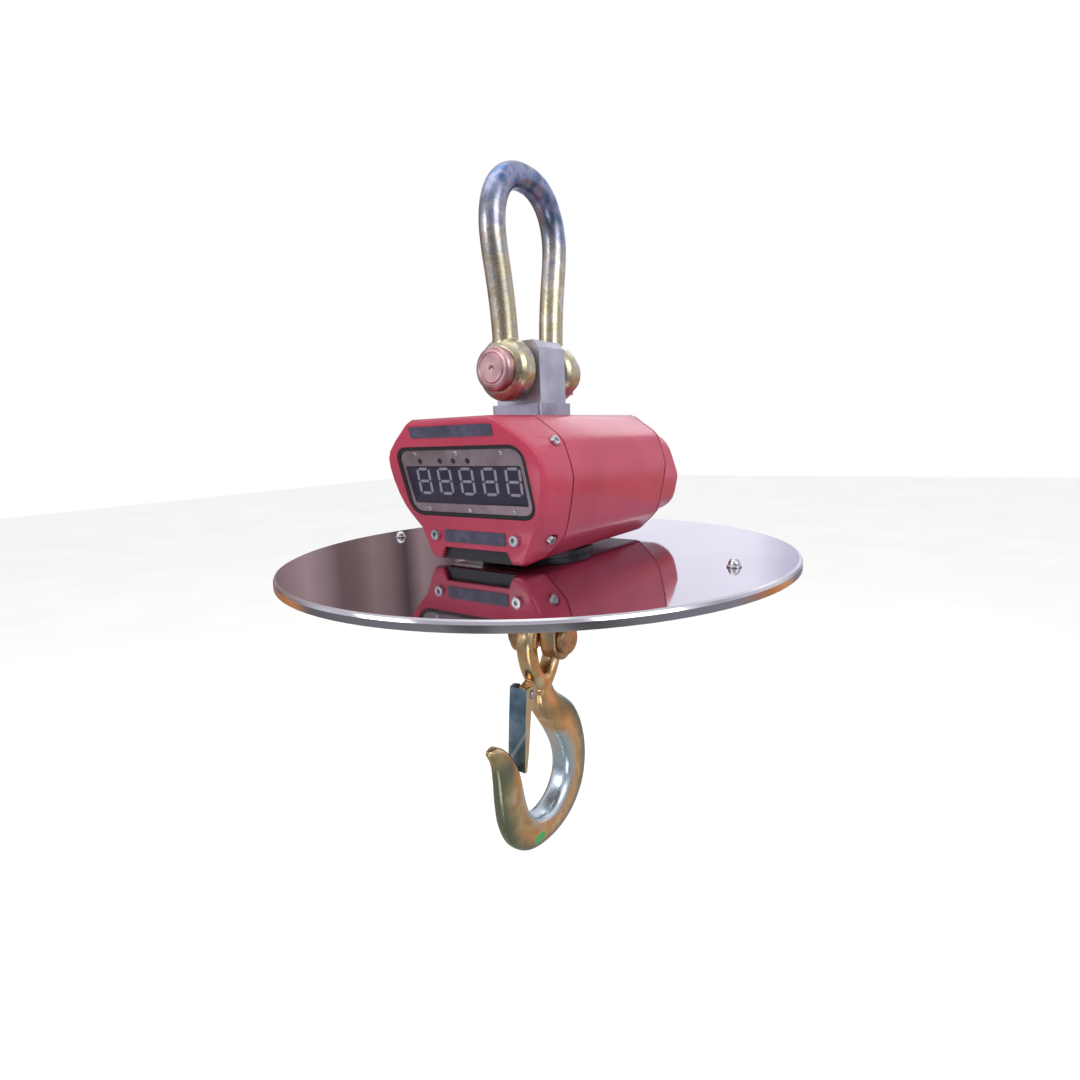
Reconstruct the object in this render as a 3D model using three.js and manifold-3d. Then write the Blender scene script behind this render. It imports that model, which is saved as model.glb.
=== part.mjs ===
// Hanging crane scale with a round heat shield and an eye hook, in millimetres.
// X is the display's width, Y runs from the display to the battery end, Z is up.
// Sizes below are laid out from the top of the heat shield; the finished part is
// lowered so that the crown of the shackle, where it hangs, is the origin.
import * as THREE from 'three';
import { mergeVertices } from 'three/addons/utils/BufferGeometryUtils.js';
import Module from 'manifold-3d';

const wasm = await Module();
wasm.setup();

const GAP = 0.3;              // fit gap between pieces that touch
const HANG_Z = 339.5;          // inside of the shackle crown above the shield
const PIN_Z = 177;            // upper pin
const LOWER_PIN_Z = -88;      // hook pin
const CLEVIS_END_Z = -93;     // centre of the round clevis ends
const HANG_TILT = 2.63;       // degrees the hook turns so its weight hangs under the pin
const BAR = 24;               // shackle bar diameter
const WALL = 4;               // casting wall
const MID_Z = 71;             // middle of the housing section
const LEAN = 0.285;           // display face: recession per mm of drop
const CHIN_Y = -95;           // vertical lower part of the front cover
const CHIN_Z = 36;            // where the leaning face starts
const SEAM_Y = -66;           // rear edge of the front cover
const REAR_Y = 116;           // rear edge of the shell
const SHIELD_R = 250;
const SHIELD_TOP = 2;

const mats = {
  zinc: new THREE.MeshStandardMaterial({ color: 0xb8a66a, metalness: 0.9, roughness: 0.4 }),
  steel: new THREE.MeshStandardMaterial({ color: 0x9aa2a8, metalness: 0.8, roughness: 0.45 }),
  pink: new THREE.MeshStandardMaterial({ color: 0xb09a92, metalness: 0.8, roughness: 0.4 }),
  red: new THREE.MeshStandardMaterial({ color: 0xb3283a, roughness: 0.45 }),
  black: new THREE.MeshStandardMaterial({ color: 0x1b1d20, roughness: 0.7 }),
  label: new THREE.MeshStandardMaterial({ color: 0x2b3a48, roughness: 0.5 }),
  bezel: new THREE.MeshStandardMaterial({ color: 0x6d7068, metalness: 0.6, roughness: 0.5 }),
  board: new THREE.MeshStandardMaterial({ color: 0x1f5a36, roughness: 0.6 }),
  digit: new THREE.MeshStandardMaterial({ color: 0xb6acc0, roughness: 0.6 }),
  mirror: new THREE.MeshStandardMaterial({ color: 0xc8ccd0, metalness: 1, roughness: 0.05 }),
  latch: new THREE.MeshStandardMaterial({ color: 0x5b7282, metalness: 0.7, roughness: 0.4 }),
};

// ---- solids ----------------------------------------------------------------
function toManifold(geometry) {
  const g = new THREE.BufferGeometry();
  g.setAttribute('position', geometry.getAttribute('position').clone());
  if (geometry.index) g.setIndex(geometry.index.clone());
  const m = mergeVertices(g, 1e-4);
  return new wasm.Manifold(new wasm.Mesh({
    numProp: 3,
    vertProperties: new Float32Array(m.getAttribute('position').array),
    triVerts: new Uint32Array(m.index.array),
  }));
}
function fromManifold(m) {
  const mesh = m.getMesh();
  const g = new THREE.BufferGeometry();
  g.setAttribute('position', new THREE.BufferAttribute(new Float32Array(mesh.vertProperties), 3));
  g.setIndex(new THREE.BufferAttribute(new Uint32Array(mesh.triVerts), 1));
  return g;
}
function join(first, ...rest) {
  let m = toManifold(first);
  for (const r of rest) m = m.add(toManifold(r));
  return fromManifold(m);
}
function cut(first, ...rest) {
  let m = toManifold(first);
  for (const r of rest) m = m.subtract(toManifold(r));
  return fromManifold(m);
}
function box(x0, x1, y0, y1, z0, z1) {
  const g = new THREE.BoxGeometry(x1 - x0, y1 - y0, z1 - z0);
  return g.translate((x0 + x1) / 2, (y0 + y1) / 2, (z0 + z1) / 2);
}
// rod between two points, with an end radius of its own if it tapers
function rod(a, b, r, seg = 24, r2 = r) {
  const p = new THREE.Vector3(...a), q = new THREE.Vector3(...b);
  const g = new THREE.CylinderGeometry(r2, r, p.distanceTo(q), seg);
  const turn = new THREE.Quaternion().setFromUnitVectors(
    new THREE.Vector3(0, 1, 0), q.clone().sub(p).normalize());
  return g.applyQuaternion(turn).translate((p.x + q.x) / 2, (p.y + q.y) / 2, (p.z + q.z) / 2);
}
// turned solid: closed list of [radius, along], turned round its own Y axis
function turned(points, seg = 32) {
  const loop = points.map(([r, h]) => new THREE.Vector2(r, h));
  if (THREE.ShapeUtils.area(loop) < 0) loop.reverse();
  loop.push(loop[0].clone());
  return new THREE.LatheGeometry(loop, seg);
}
// solid turned piece touching its axis: list of [radius, along] from bottom to top
function knob(points, seg = 32) {
  return new THREE.LatheGeometry(points.map(([r, h]) => new THREE.Vector2(r, h)), seg);
}
// flat outline in (u, v) given thickness w0..w1, then placed by an axis map
function plate(outline, w0, w1, holes = [], bevel = 0) {
  const shape = new THREE.Shape(outline.map(([u, v]) => new THREE.Vector2(u, v)));
  for (const h of holes) shape.holes.push(new THREE.Path(h.map(([u, v]) => new THREE.Vector2(u, v))));
  const g = new THREE.ExtrudeGeometry(shape, {
    depth: w1 - w0 - 2 * bevel, steps: 1, bevelEnabled: bevel > 0, bevelThickness: bevel,
    bevelSize: bevel, bevelOffset: -bevel, bevelSegments: 3, curveSegments: 8 });
  return g.translate(0, 0, w0 + bevel);
}
// (u, v, w) -> (w, u, v): outline in the Y-Z plane, thickness along X
function alongX(g) {
  return g.applyMatrix4(new THREE.Matrix4().set(0, 0, 1, 0, 1, 0, 0, 0, 0, 1, 0, 0, 0, 0, 0, 1));
}
// (u, v, w) -> (u, -w, v): outline in the X-Z plane, thickness toward -Y
function alongY(g) {
  return g.applyMatrix4(new THREE.Matrix4().set(1, 0, 0, 0, 0, 0, -1, 0, 0, 1, 0, 0, 0, 0, 0, 1));
}
function roundRect(u0, u1, v0, v1, r, n = 5) {
  const pts = [];
  const corner = (cu, cv, a) => {
    for (let i = 0; i <= n; i++) {
      const t = a + (i / n) * Math.PI / 2;
      pts.push([cu + r * Math.cos(t), cv + r * Math.sin(t)]);
    }
  };
  corner(u1 - r, v1 - r, 0); corner(u0 + r, v1 - r, Math.PI / 2);
  corner(u0 + r, v0 + r, Math.PI); corner(u1 - r, v0 + r, 1.5 * Math.PI);
  return pts;
}
function circle(u, v, r, n = 20) {
  return Array.from({ length: n }, (_, i) =>
    [u + r * Math.cos(2 * Math.PI * i / n), v + r * Math.sin(2 * Math.PI * i / n)]);
}

// ---- housing section -------------------------------------------------------
// half widths at rising heights, same number of levels for both outlines
const SHELL = [[8, 50], [8.8, 54], [11, 57], [18, 64.5], [24, 71], [31, 77], [42, 80.5], [55, 83.5],
  [68, 86], [81, 87.5], [91, 85.5], [102, 82], [110, 79], [117, 73], [126, 60], [131.5, 52.5], [134, 46]];
const FACE = [[6, 50], [7, 53.5], [11, 56.5], [21, 60.5], [33.5, 66.5], [40, 72], [47, 77], [56, 82],
  [67, 85.5], [81, 87.5], [93, 87.5], [101, 86], [108, 81.5], [117, 71], [126, 58.5], [131.3, 51], [134, 44.5]];
const END = [[22, 40], [23, 46], [26, 53], [31, 60.5], [38, 66], [46, 68.7], [54, 70.3], [61, 71.7],
  [66, 71.8], [71, 70.3], [78, 68], [86, 65.5], [94, 62.5], [101, 58.5], [107, 53], [109.5, 48], [110.5, 42]];
const faceY = (z) => (z < CHIN_Z ? CHIN_Y : CHIN_Y - LEAN * (z - CHIN_Z));

function shrink(levels, by, mid = MID_Z) {
  const tall = (levels.at(-1)[0] - levels[0][0]) / 2, wide = Math.max(...levels.map((l) => l[1]));
  return levels.map(([z, w]) => [mid + (z - mid) * (tall - by) / tall, w * (wide - by) / wide]);
}
function ring(levels, yOf) {
  const right = levels.map(([z, w]) => [w, yOf(z), z]);
  const left = levels.map(([z, w]) => [-w, yOf(z), z]).reverse();
  return [...right, ...left];
}
// solid lofted from the front ring to the rear ring; the ends are closed level by level
function loft(rings) {
  const n = rings[0].length, pos = rings.flat(2), idx = [];
  for (let k = 0; k + 1 < rings.length; k++) {
    for (let i = 0; i < n; i++) {
      const j = (i + 1) % n, a = k * n + i, b = k * n + j, c = a + n, d = b + n;
      idx.push(a, c, b, b, c, d);
    }
  }
  const last = (rings.length - 1) * n;
  for (let i = 0; i + 1 < n / 2; i++) {
    const a = i, b = i + 1, c = n - 2 - i, d = n - 1 - i;
    idx.push(a, b, c, a, c, d);
    idx.push(last + a, last + c, last + b, last + a, last + d, last + c);
  }
  const g = new THREE.BufferGeometry();
  g.setAttribute('position', new THREE.BufferAttribute(new Float32Array(pos), 3));
  g.setIndex(idx);
  return g;
}
function prismLoft(levels, y0, y1) {
  return loft([ring(levels, () => y0), ring(levels, () => y1)]);
}
// display face frame: x stays, v runs up the leaning face, w points out of it
const FACE_Z = 78.5;
function onFace(g) {
  const s = Math.hypot(1, LEAN), c = 1 / s, t = LEAN / s;
  return g.applyMatrix4(new THREE.Matrix4().set(
    1, 0, 0, 0, 0, -t, -c, faceY(FACE_Z), 0, c, -t, FACE_Z, 0, 0, 0, 1));
}

// ---- shackle ---------------------------------------------------------------
const EYE_Y = 37, EYE_R = 28.5, EYE_T = 26, COTTER_Y = 65;
function shackleBow() {
  const side = [[37, 177], [37, 192], [37.2, 207], [38.2, 224], [40.4, 243], [43.4, 262], [46.6, 280],
    [48.4, 296], [47.8, 310.5], [44.2, 324], [37.2, 336], [26.8, 345], [14, 350.2], [0, 351.5]];
  const path = [...side.map(([y, z]) => [-y, z]), ...side.slice(0, -1).reverse()];
  const n = 20, pos = [], idx = [];
  path.forEach(([y, z], k) => {
    const a = path[Math.max(k - 1, 0)], b = path[Math.min(k + 1, path.length - 1)];
    const l = Math.hypot(b[0] - a[0], b[1] - a[1]), ny = -(b[1] - a[1]) / l, nz = (b[0] - a[0]) / l;
    for (let i = 0; i < n; i++) {
      const t = 2 * Math.PI * i / n, c = (BAR / 2) * Math.cos(t), s = (BAR / 2) * Math.sin(t);
      pos.push(s, y + c * ny, z + c * nz);
    }
  });
  for (let k = 0; k + 1 < path.length; k++) {
    for (let i = 0; i < n; i++) {
      const j = (i + 1) % n, a = k * n + i, b = k * n + j, c = a + n, d = b + n;
      idx.push(a, b, c, b, d, c);
    }
  }
  const last = (path.length - 1) * n;
  for (let i = 1; i + 1 < n; i++) {
    idx.push(0, i + 1, i);
    idx.push(last, last + i, last + i + 1);
  }
  const bar = new THREE.BufferGeometry();
  bar.setAttribute('position', new THREE.BufferAttribute(new Float32Array(pos), 3));
  bar.setIndex(idx);
  const eye = (y) => knob([[0, -EYE_T / 2], [21, -EYE_T / 2], [25.5, -EYE_T / 2 + 2.5], [EYE_R, -6],
    [EYE_R, 6], [25.5, EYE_T / 2 - 2.5], [21, EYE_T / 2], [0, EYE_T / 2]], 40).translate(0, y, PIN_Z);
  const m = join(bar, eye(-EYE_Y), eye(EYE_Y));
  return cut(m, rod([0, -60, PIN_Z], [0, 60, PIN_Z], 13.3, 32), box(-14, 14, -24, 24, 150, 204));
}
function shacklePin() {
  const head = knob([[0, -60], [13, -60], [18.5, -58.6], [20, -56.5], [20, -51.2], [19, -50.3],
    [13, -50.3], [13, 53.4], [11, 54], [11, 68.4], [10, 69.4], [0, 69.4]], 32);
  return cut(head.translate(0, 0, PIN_Z), rod([0, COTTER_Y, PIN_Z - 15], [0, COTTER_Y, PIN_Z + 15], 2.2, 12));
}
function shackleWasher() {
  return turned([[13.3, 50.3], [22, 50.3], [22, 53.3], [13.3, 53.3]], 32).translate(0, 0, PIN_Z);
}
function shackleNut() {
  const body = knob([[0, 54.3], [18, 54.3], [20, 55.3], [20, 60], [18.5, 61.8], [0, 61.8]], 32)
    .translate(0, 0, PIN_Z);
  return cut(body, rod([0, 50, PIN_Z], [0, 70, PIN_Z], 11.4, 24));
}
function shackleCotter() {
  const y = COTTER_Y, r = 1.8;
  const eye = new THREE.TorusGeometry(3.4, 1.7, 8, 16).rotateX(Math.PI / 2).translate(0, y, PIN_Z + 17.4);
  return join(eye, rod([0, y, PIN_Z - 17], [0, y, PIN_Z + 15], r, 12),
    rod([0, y, PIN_Z - 15.6], [5, y + 3, PIN_Z - 19.5], 1.5, 10));
}

// ---- load path -------------------------------------------------------------
function loadCell() {
  const outline = [[-26, -10], [26, -10], [26, 197], [19, 204], [-19, 204], [-26, 197]];
  const body = alongY(plate(outline, -21, 21));
  const stud = rod([0, 0, -46], [0, 0, 0], 15, 24);
  const cell = join(body, stud);
  return cut(cell, rod([0, -30, PIN_Z], [0, 30, PIN_Z], 13.4, 32), rod([0, -30, 70], [0, 30, 70], 17, 28),
    box(-30, -21, -30, 30, 40, 100), box(21, 30, -30, 30, 40, 100));
}
function gaugeCover() {
  return rod([0, -22.9, 70], [0, -21.3, 70], 20, 28);
}
function lowerClevis() {
  const outline = [[17, -14], [-17, -14]];
  for (let i = 0; i <= 12; i++) {
    const t = Math.PI + Math.PI * i / 12;
    outline.push([17 * Math.cos(t), CLEVIS_END_Z + 17 * Math.sin(t)]);
  }
  const body = alongX(plate(outline, -29, 29, [], 1.5));
  return cut(body, box(-11.3, 11.3, -40, 40, -120, -55),
    rod([-40, 0, LOWER_PIN_Z], [40, 0, LOWER_PIN_Z], 12.8, 28), rod([0, 0, -50], [0, 0, -5], 15.4, 24));
}
function lowerPin() {
  return knob([[0, -33.4], [11.5, -33.4], [12.5, -32.4], [12.5, -31.4], [10.5, -31.4], [10.5, -29.6],
    [12.5, -29.6], [12.5, 29.3], [14, 29.3], [15, 30.3], [15, 35], [13.5, 36.4], [6, 37], [0, 37]], 28)
    .rotateZ(-Math.PI / 2).translate(0, 0, LOWER_PIN_Z);
}
function lowerClip() {
  return turned([[10.8, 29.8], [16, 29.8], [16, 31.2], [10.8, 31.2]], 28).rotateZ(Math.PI / 2)
    .translate(0, 0, LOWER_PIN_Z);
}

// ---- housing ---------------------------------------------------------------
function topCollar() {
  return plate(roundRect(-29, 29, -27, 27, 4), 134.3, 146,
    [roundRect(-26.5, 26.5, -21.5, 21.5, 1)]);
}
function centreShell() {
  const tube = cut(prismLoft(SHELL, SEAM_Y + 2, REAR_Y), prismLoft(shrink(SHELL, WALL), SEAM_Y, REAR_Y + 2));
  return cut(tube, box(-26.6, 26.6, -21.6, 21.6, 120, 150), box(-27.5, 27.5, -22.5, 22.5, 0, 20),
    ...HUB_SCREWS.map(([x, y]) => rod([x, y, 0], [x, y, 20], 3.2, 12)));
}
function gasket(levels, y0, y1, inset) {
  return cut(prismLoft(shrink(levels, inset), y0, y1), prismLoft(shrink(levels, inset + 3), y0 - 1, y1 + 1));
}
const SIDE_SCREWS = {
  side_screw_upper_right: [[79.2, -78, 112.3], [0.83, 0, 0.56]],
  side_screw_upper_left: [[-79.2, -78, 112.3], [-0.83, 0, 0.56]],
  side_screw_lower_right: [[70.5, -76, 28], [0.82, 0, -0.57]],
  side_screw_lower_left: [[-70.5, -76, 28], [-0.82, 0, -0.57]],
};
const along = ([p, d], t) => [p[0] + d[0] * t, p[1] + d[1] * t, p[2] + d[2] * t];
function frontCover() {
  const at = (inset, back) => ring(shrink(FACE, inset), (z) => faceY(z) + back);
  const outer = loft([at(4.5, 0), at(1.6, 1.2), at(0, 4.8), ring(SHELL, () => SEAM_Y)]);
  const inner = loft([ring(shrink(FACE, WALL + 4), (z) => faceY(z) + WALL),
    ring(shrink(FACE, WALL + 0.6), (z) => faceY(z) + WALL + 5), ring(shrink(SHELL, WALL), () => SEAM_Y + 2)]);
  const post = (x, z) => rod([x, faceY(z) + 2.5, z], [x, -52.3, z], 4, 12);
  const shell = join(cut(outer, inner), post(70, 60), post(-70, 60), post(70, 96), post(-70, 96));
  const window = onFace(plate(roundRect(-73, 73, -33, 33, 14), -6, 12));
  const notch = alongY(plate([[-44.5, 2], [44.5, 2], [36.5, 18], [-36.5, 18]], 80, 110));
  const chin = [-46, 46].map((x) => rod([x, -110, 29], [x, -80, 29], 2.9, 12));
  const side = Object.values(SIDE_SCREWS).flatMap((s) =>
    [rod(along(s, -2.2), along(s, 12), 6, 16), rod(along(s, -12), along(s, 5), 2.9, 12)]);
  return cut(shell, window, notch, ...chin, ...side);
}
function sideScrew(s) {
  const head = rod(along(s, -1.9), along(s, 1.2), 4.6, 20, 4.2);
  const socket = rod(along(s, -0.4), along(s, 4), 2.2, 6);
  return cut(join(head, rod(along(s, -10), along(s, -1), 2.5, 12)), socket);
}
function chinScrew(x) {
  const y = CHIN_Y - GAP, z = 29;
  const head = rod([x, y, z], [x, y - 3, z], 5, 20, 4.6);
  return cut(join(head, rod([x, y + 9, z], [x, y - 1, z], 2.5, 12)), rod([x, y - 1, z], [x, y - 5, z], 2.5, 6));
}
const PANEL_SCREWS = [[-49, 26], [0, 26], [49, 26], [-49, -26.5], [0, -26.5], [49, -26.5]];
const LEDS = [-45.5, -21, -5.5, 11];
function windowSeal() {
  return onFace(plate(roundRect(-72.7, 72.7, -32.7, 32.7, 13.7), -3.6, -0.6,
    [roundRect(-69.6, 69.6, -29.6, 29.6, 10.6)]));
}
function bezelPanel() {
  return onFace(plate(roundRect(-69.3, 69.3, -29.3, 29.3, 10.3), -3.4, -1.6,
    [roundRect(-65.8, 65.8, -20.8, 14.8, 1.5, 2), ...LEDS.map((x) => circle(x, 19.3, 2.5, 12)),
      ...PANEL_SCREWS.map(([x, v]) => circle(x, v, 1.6, 10))]));
}
function displayWindow() {
  return onFace(plate(roundRect(-65.5, 65.5, -20.5, 14.5, 1.2, 2), -3.4, -2));
}
function displayBoard() {
  return onFace(plate(roundRect(-65, 65, -27, 25, 2, 2), -15, -13.3));
}
const DIGIT_PITCH = 25.6, DIGIT_MID = 2.5;
function digit(i) {
  const x = DIGIT_MID + (i - 2) * DIGIT_PITCH;
  return onFace(plate(roundRect(x - 12.5, x + 12.5, -19.8, 13.8, 0.8, 2), -13, -4.4));
}
function led(x) {
  return onFace(knob([[0, -13], [2.1, -13], [2.1, -2.2], [1.4, -1.2], [0, -0.9]], 12)
    .rotateX(Math.PI / 2).translate(x, 19.3, 0));
}
function topLabel() {
  return onFace(plate(roundRect(-46.5, 46.5, 41, 51, 1.5, 3), 0.1, 0.8));
}
function chinLabel() {
  return alongY(plate(roundRect(-35.5, 35.5, 23.2, 34.6, 1.5, 3), -CHIN_Y + 0.1, -CHIN_Y + 0.8));
}
function mainBoard() {
  return box(-74.5, 74.5, -52, -50.4, 46, 104);
}
function rearPlate() {
  const p = loft([ring(SHELL, () => REAR_Y + 1.8), ring(SHELL, () => REAR_Y + 4.5),
    ring(shrink(SHELL, 2.5), () => REAR_Y + 6.5)]);
  return cut(p, box(-54, 54, REAR_Y, REAR_Y + 10, 36, 98));
}
function batteryCover() {
  const y0 = REAR_Y + 6.8, y1 = 190, mid = 66;
  const outer = loft([ring(END, () => y0), ring(END, () => y1 - 5), ring(shrink(END, 1.6, mid), () => y1 - 1.4),
    ring(shrink(END, 5, mid), () => y1)]);
  const inner = loft([ring(shrink(END, 3, mid), () => y0 - 2), ring(shrink(END, 3, mid), () => y1 - 7),
    ring(shrink(END, 6, mid), () => y1 - 3)]);
  return cut(outer, inner, rod([0, 170, 67], [0, 200, 67], 7.3, 24));
}
function chargeSocket() {
  return knob([[0, 181], [7, 181], [7, 190.3], [10.5, 190.3], [10.5, 192.6], [9.5, 193.6], [0, 193.6]], 24)
    .translate(0, 0, 67);
}
function batteryPack() {
  return plate(roundRect(-46, 46, 125, 180, 4, 3), 42, 92);
}

// ---- heat shield -----------------------------------------------------------
const HUB_SCREWS = [[38, 30], [-38, 30], [-38, -30], [38, -30]];
const BRACE_X = 202;
function heatShield() {
  const t = SHIELD_TOP, R = SHIELD_R;
  const disc = turned([[37, t], [R - 3, t], [R - 0.9, t - 0.9], [R, t - 3], [R, -6.5], [R - 2, -6.5],
    [R - 2, t - 3.2], [R - 3, t - 2], [37, t - 2]], 96).rotateX(Math.PI / 2);
  const side = [BRACE_X, -BRACE_X].map((x) => rod([x, 0, -5], [x, 0, 5], 3, 12));
  return cut(disc, ...side, ...HUB_SCREWS.map(([x, y]) => rod([x, y, -5], [x, y, 5], 3.2, 12)));
}
function shieldHub() {
  const g = turned([[37, 2.3], [56, 2.3], [56, 7.7], [37, 7.7]], 40).rotateX(Math.PI / 2);
  return cut(g, ...HUB_SCREWS.map(([x, y]) => rod([x, y, -5], [x, y, 15], 3.2, 12)));
}
function shieldBrace() {
  const plateZ = [-4.3, -0.3];
  const ringPiece = turned([[37, plateZ[0]], [58, plateZ[0]], [58, plateZ[1]], [37, plateZ[1]]], 40).rotateX(Math.PI / 2);
  const bars = [box(45, 214, -15, 15, ...plateZ), box(-214, -45, -15, 15, ...plateZ)];
  const holes = [BRACE_X, -BRACE_X].map((x) => rod([x, 0, -9], [x, 0, 5], 3, 12));
  return cut(join(ringPiece, ...bars), ...holes, ...HUB_SCREWS.map(([x, y]) => rod([x, y, -9], [x, y, 5], 3.2, 12)));
}
function braceBolt(x) {
  return knob([[0, -8.4], [5, -8.4], [5, -4.6], [2.6, -4.6], [2.6, 2.3], [6.2, 2.3], [6.2, 3.4], [5, 4],
    [4.8, 6], [3.6, 8], [1.8, 9], [0, 9.3]], 20).rotateX(Math.PI / 2).translate(x, 0, 0);
}
function hubScrew([x, y]) {
  return knob([[0, -8.6], [5, -8.6], [5.4, -8], [5.4, -4.6], [2.8, -4.6], [2.8, 14], [0, 14]], 14)
    .rotateX(Math.PI / 2).translate(x, y, 0);
}

// ---- hook ------------------------------------------------------------------
const LATCH_PIN = [-30.5, -141];
function hook() {
  // inner edge y z, outer edge y z, half thickness
  const st = [[-10, -128, 10, -129, 8.5], [-12.5, -140, 14, -142, 10], [-14.5, -151, 21, -154, 11.5],
    [-12, -163, 38, -166, 12.5], [-4, -176, 53, -178, 13.5], [7, -190, 64, -192, 14], [18, -205, 72.5, -209, 14.5],
    [27, -221, 78.5, -231, 14.5], [32, -238, 79, -254, 14.5], [30.5, -254, 72, -279, 14.5],
    [21.5, -268.5, 54, -300, 14.5], [7, -278, 28, -312.5, 14.5], [-9, -280.5, -3, -316.5, 14.5],
    [-24, -275.5, -33, -311, 14.5], [-35, -264, -57, -294, 14], [-41.5, -249, -71, -269, 13.5],
    [-45, -233, -76.5, -243, 12.5], [-49, -217, -78.5, -221, 11.5], [-55.5, -203, -81, -203, 10],
    [-63, -192, -85.5, -192, 8.5], [-71.5, -184, -90, -185.5, 6.5], [-79, -180, -90, -181, 3.5]];
  const n = 20, pos = [], idx = [];
  st.forEach(([iy, iz, oy, oz, t]) => {
    const cy = (iy + oy) / 2, cz = (iz + oz) / 2, hy = (iy - oy) / 2, hz = (iz - oz) / 2;
    for (let i = 0; i < n; i++) {
      const a = 2 * Math.PI * i / n, c = Math.cos(a), s = Math.sin(a);
      const u = Math.sign(c) * Math.abs(c) ** 0.8, w = Math.sign(s) * Math.abs(s) ** 0.7;
      pos.push(t * w, cy + hy * u, cz + hz * u);
    }
  });
  for (let k = 0; k + 1 < st.length; k++) {
    for (let i = 0; i < n; i++) {
      const j = (i + 1) % n, a = k * n + i, b = k * n + j, c = a + n, d = b + n;
      idx.push(a, c, b, b, c, d);
    }
  }
  const last = (st.length - 1) * n;
  for (let i = 1; i + 1 < n; i++) {
    idx.push(0, i, i + 1);
    idx.push(last, last + i + 1, last + i);
  }
  const bar = new THREE.BufferGeometry();
  bar.setAttribute('position', new THREE.BufferAttribute(new Float32Array(pos), 3));
  bar.setIndex(idx);
  // eye: an egg-shaped ring whose crown hangs on the lower pin
  const egg = (r, top, low, tip, n2) => {
    const pts = [];
    for (let i = 0; i <= n2; i++) {
      const a = Math.PI * i / n2;
      pts.push([r * Math.cos(a), top + r * Math.sin(a)]);
    }
    for (let i = 1; i < n2; i++) {
      const a = Math.PI + Math.PI * i / n2;
      const f = Math.sin(a) * -1;
      pts.push([r * Math.cos(a) * (1 - (1 - tip) * f * f), top - low * f]);
    }
    return pts;
  };
  const eye = alongX(plate(egg(32, -92, 58, 0.72, 14).map(([y, z]) => [y - 2, z]), -10, 10,
    [egg(16, -90.9, 36, 0.86, 14)], 3.5));
  const lug = alongX(plate([[-8, -127], [-24, -131], [-34, -135], [-37.5, -141], [-34.5, -147.5], [-10, -166], [0, -150]],
    -4.2, 4.2));
  return cut(join(bar, eye, lug), rod([-20, ...LATCH_PIN], [20, ...LATCH_PIN], 3.3, 14));
}
function latchPin() {
  return knob([[0, -13], [3.6, -13], [4.6, -12.1], [4.6, -10.9], [3, -10.9], [3, 10.9], [4.6, 10.9],
    [4.6, 12.1], [3.6, 13], [0, 13]], 16).rotateZ(-Math.PI / 2).translate(0, ...LATCH_PIN);
}
function latchSpring() {
  const [py, pz] = LATCH_PIN, pts = [];
  pts.push(new THREE.Vector3(5.2, py - 4.6, pz - 22));
  for (let i = 0; i <= 28; i++) {
    const a = Math.PI + i / 28 * Math.PI * 3.5;
    pts.push(new THREE.Vector3(5.2 + i * 2.1 / 28, py + 4.6 * Math.cos(a), pz + 4.6 * Math.sin(a)));
  }
  const curve = new THREE.CatmullRomCurve3(pts);
  const n = 6, steps = 90, frames = curve.computeFrenetFrames(steps), pos = [], idx = [];
  for (let k = 0; k <= steps; k++) {
    const p = curve.getPointAt(k / steps), N = frames.normals[k], B = frames.binormals[k];
    for (let i = 0; i < n; i++) {
      const a = 2 * Math.PI * i / n;
      const v = p.clone().addScaledVector(N, 0.55 * Math.cos(a)).addScaledVector(B, 0.55 * Math.sin(a));
      pos.push(v.x, v.y, v.z);
    }
  }
  for (let k = 0; k < steps; k++) {
    for (let i = 0; i < n; i++) {
      const j = (i + 1) % n, a = k * n + i, b = k * n + j, c = a + n, d = b + n;
      idx.push(a, b, c, b, d, c);
    }
  }
  const last = steps * n;
  for (let i = 1; i + 1 < n; i++) {
    idx.push(0, i + 1, i);
    idx.push(last, last + i, last + i + 1);
  }
  const g = new THREE.BufferGeometry();
  g.setAttribute('position', new THREE.BufferAttribute(new Float32Array(pos), 3));
  g.setIndex(idx);
  return g;
}
function latch() {
  // side view of the channel: ears round the pivot, then a narrower strip down to the tip
  const side = [[-40, -134], [-33.5, -132.5], [-26, -135], [-24.5, -142], [-27.5, -149], [-33.5, -160],
    [-38, -200], [-41.5, -219], [-44.8, -219], [-44.2, -200], [-42, -160]];
  const body = alongX(plate(side, -10.7, 10.7));
  const inside = alongX(plate([[-39.4, -131], [-16, -128], [-16, -224], [-42.6, -224], [-42, -200], [-39.8, -160]],
    -8.3, 8.3));
  return cut(body, inside, rod([-20, ...LATCH_PIN], [20, ...LATCH_PIN], 3.3, 14));
}

function hung(g) {
  return g.translate(0, 0, -LOWER_PIN_Z).rotateX(-HANG_TILT * Math.PI / 180).translate(0, 0, LOWER_PIN_Z);
}

// ---- the part --------------------------------------------------------------
const part = new THREE.Group();
part.name = 'crane_scale';
function add(name, geometry, material) {
  const g = geometry.index ? geometry.toNonIndexed() : geometry.clone();
  for (const key of Object.keys(g.attributes)) if (key !== 'position') g.deleteAttribute(key);
  g.translate(0, 0, -HANG_Z);
  g.computeVertexNormals();
  const mesh = new THREE.Mesh(g, material);
  mesh.name = name;
  part.add(mesh);
}
add('shackle_bow', shackleBow(), mats.zinc);
add('shackle_pin', shacklePin(), mats.pink);
add('shackle_washer', shackleWasher(), mats.pink);
add('shackle_nut', shackleNut(), mats.pink);
add('shackle_cotter', shackleCotter(), mats.steel);
add('load_cell', loadCell(), mats.steel);
add('gauge_cover', gaugeCover(), mats.steel);
add('top_collar', topCollar(), mats.steel);
add('lower_clevis', lowerClevis(), mats.zinc);
add('lower_pin', lowerPin(), mats.zinc);
add('lower_clip', lowerClip(), mats.zinc);
add('centre_shell', centreShell(), mats.red);
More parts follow.
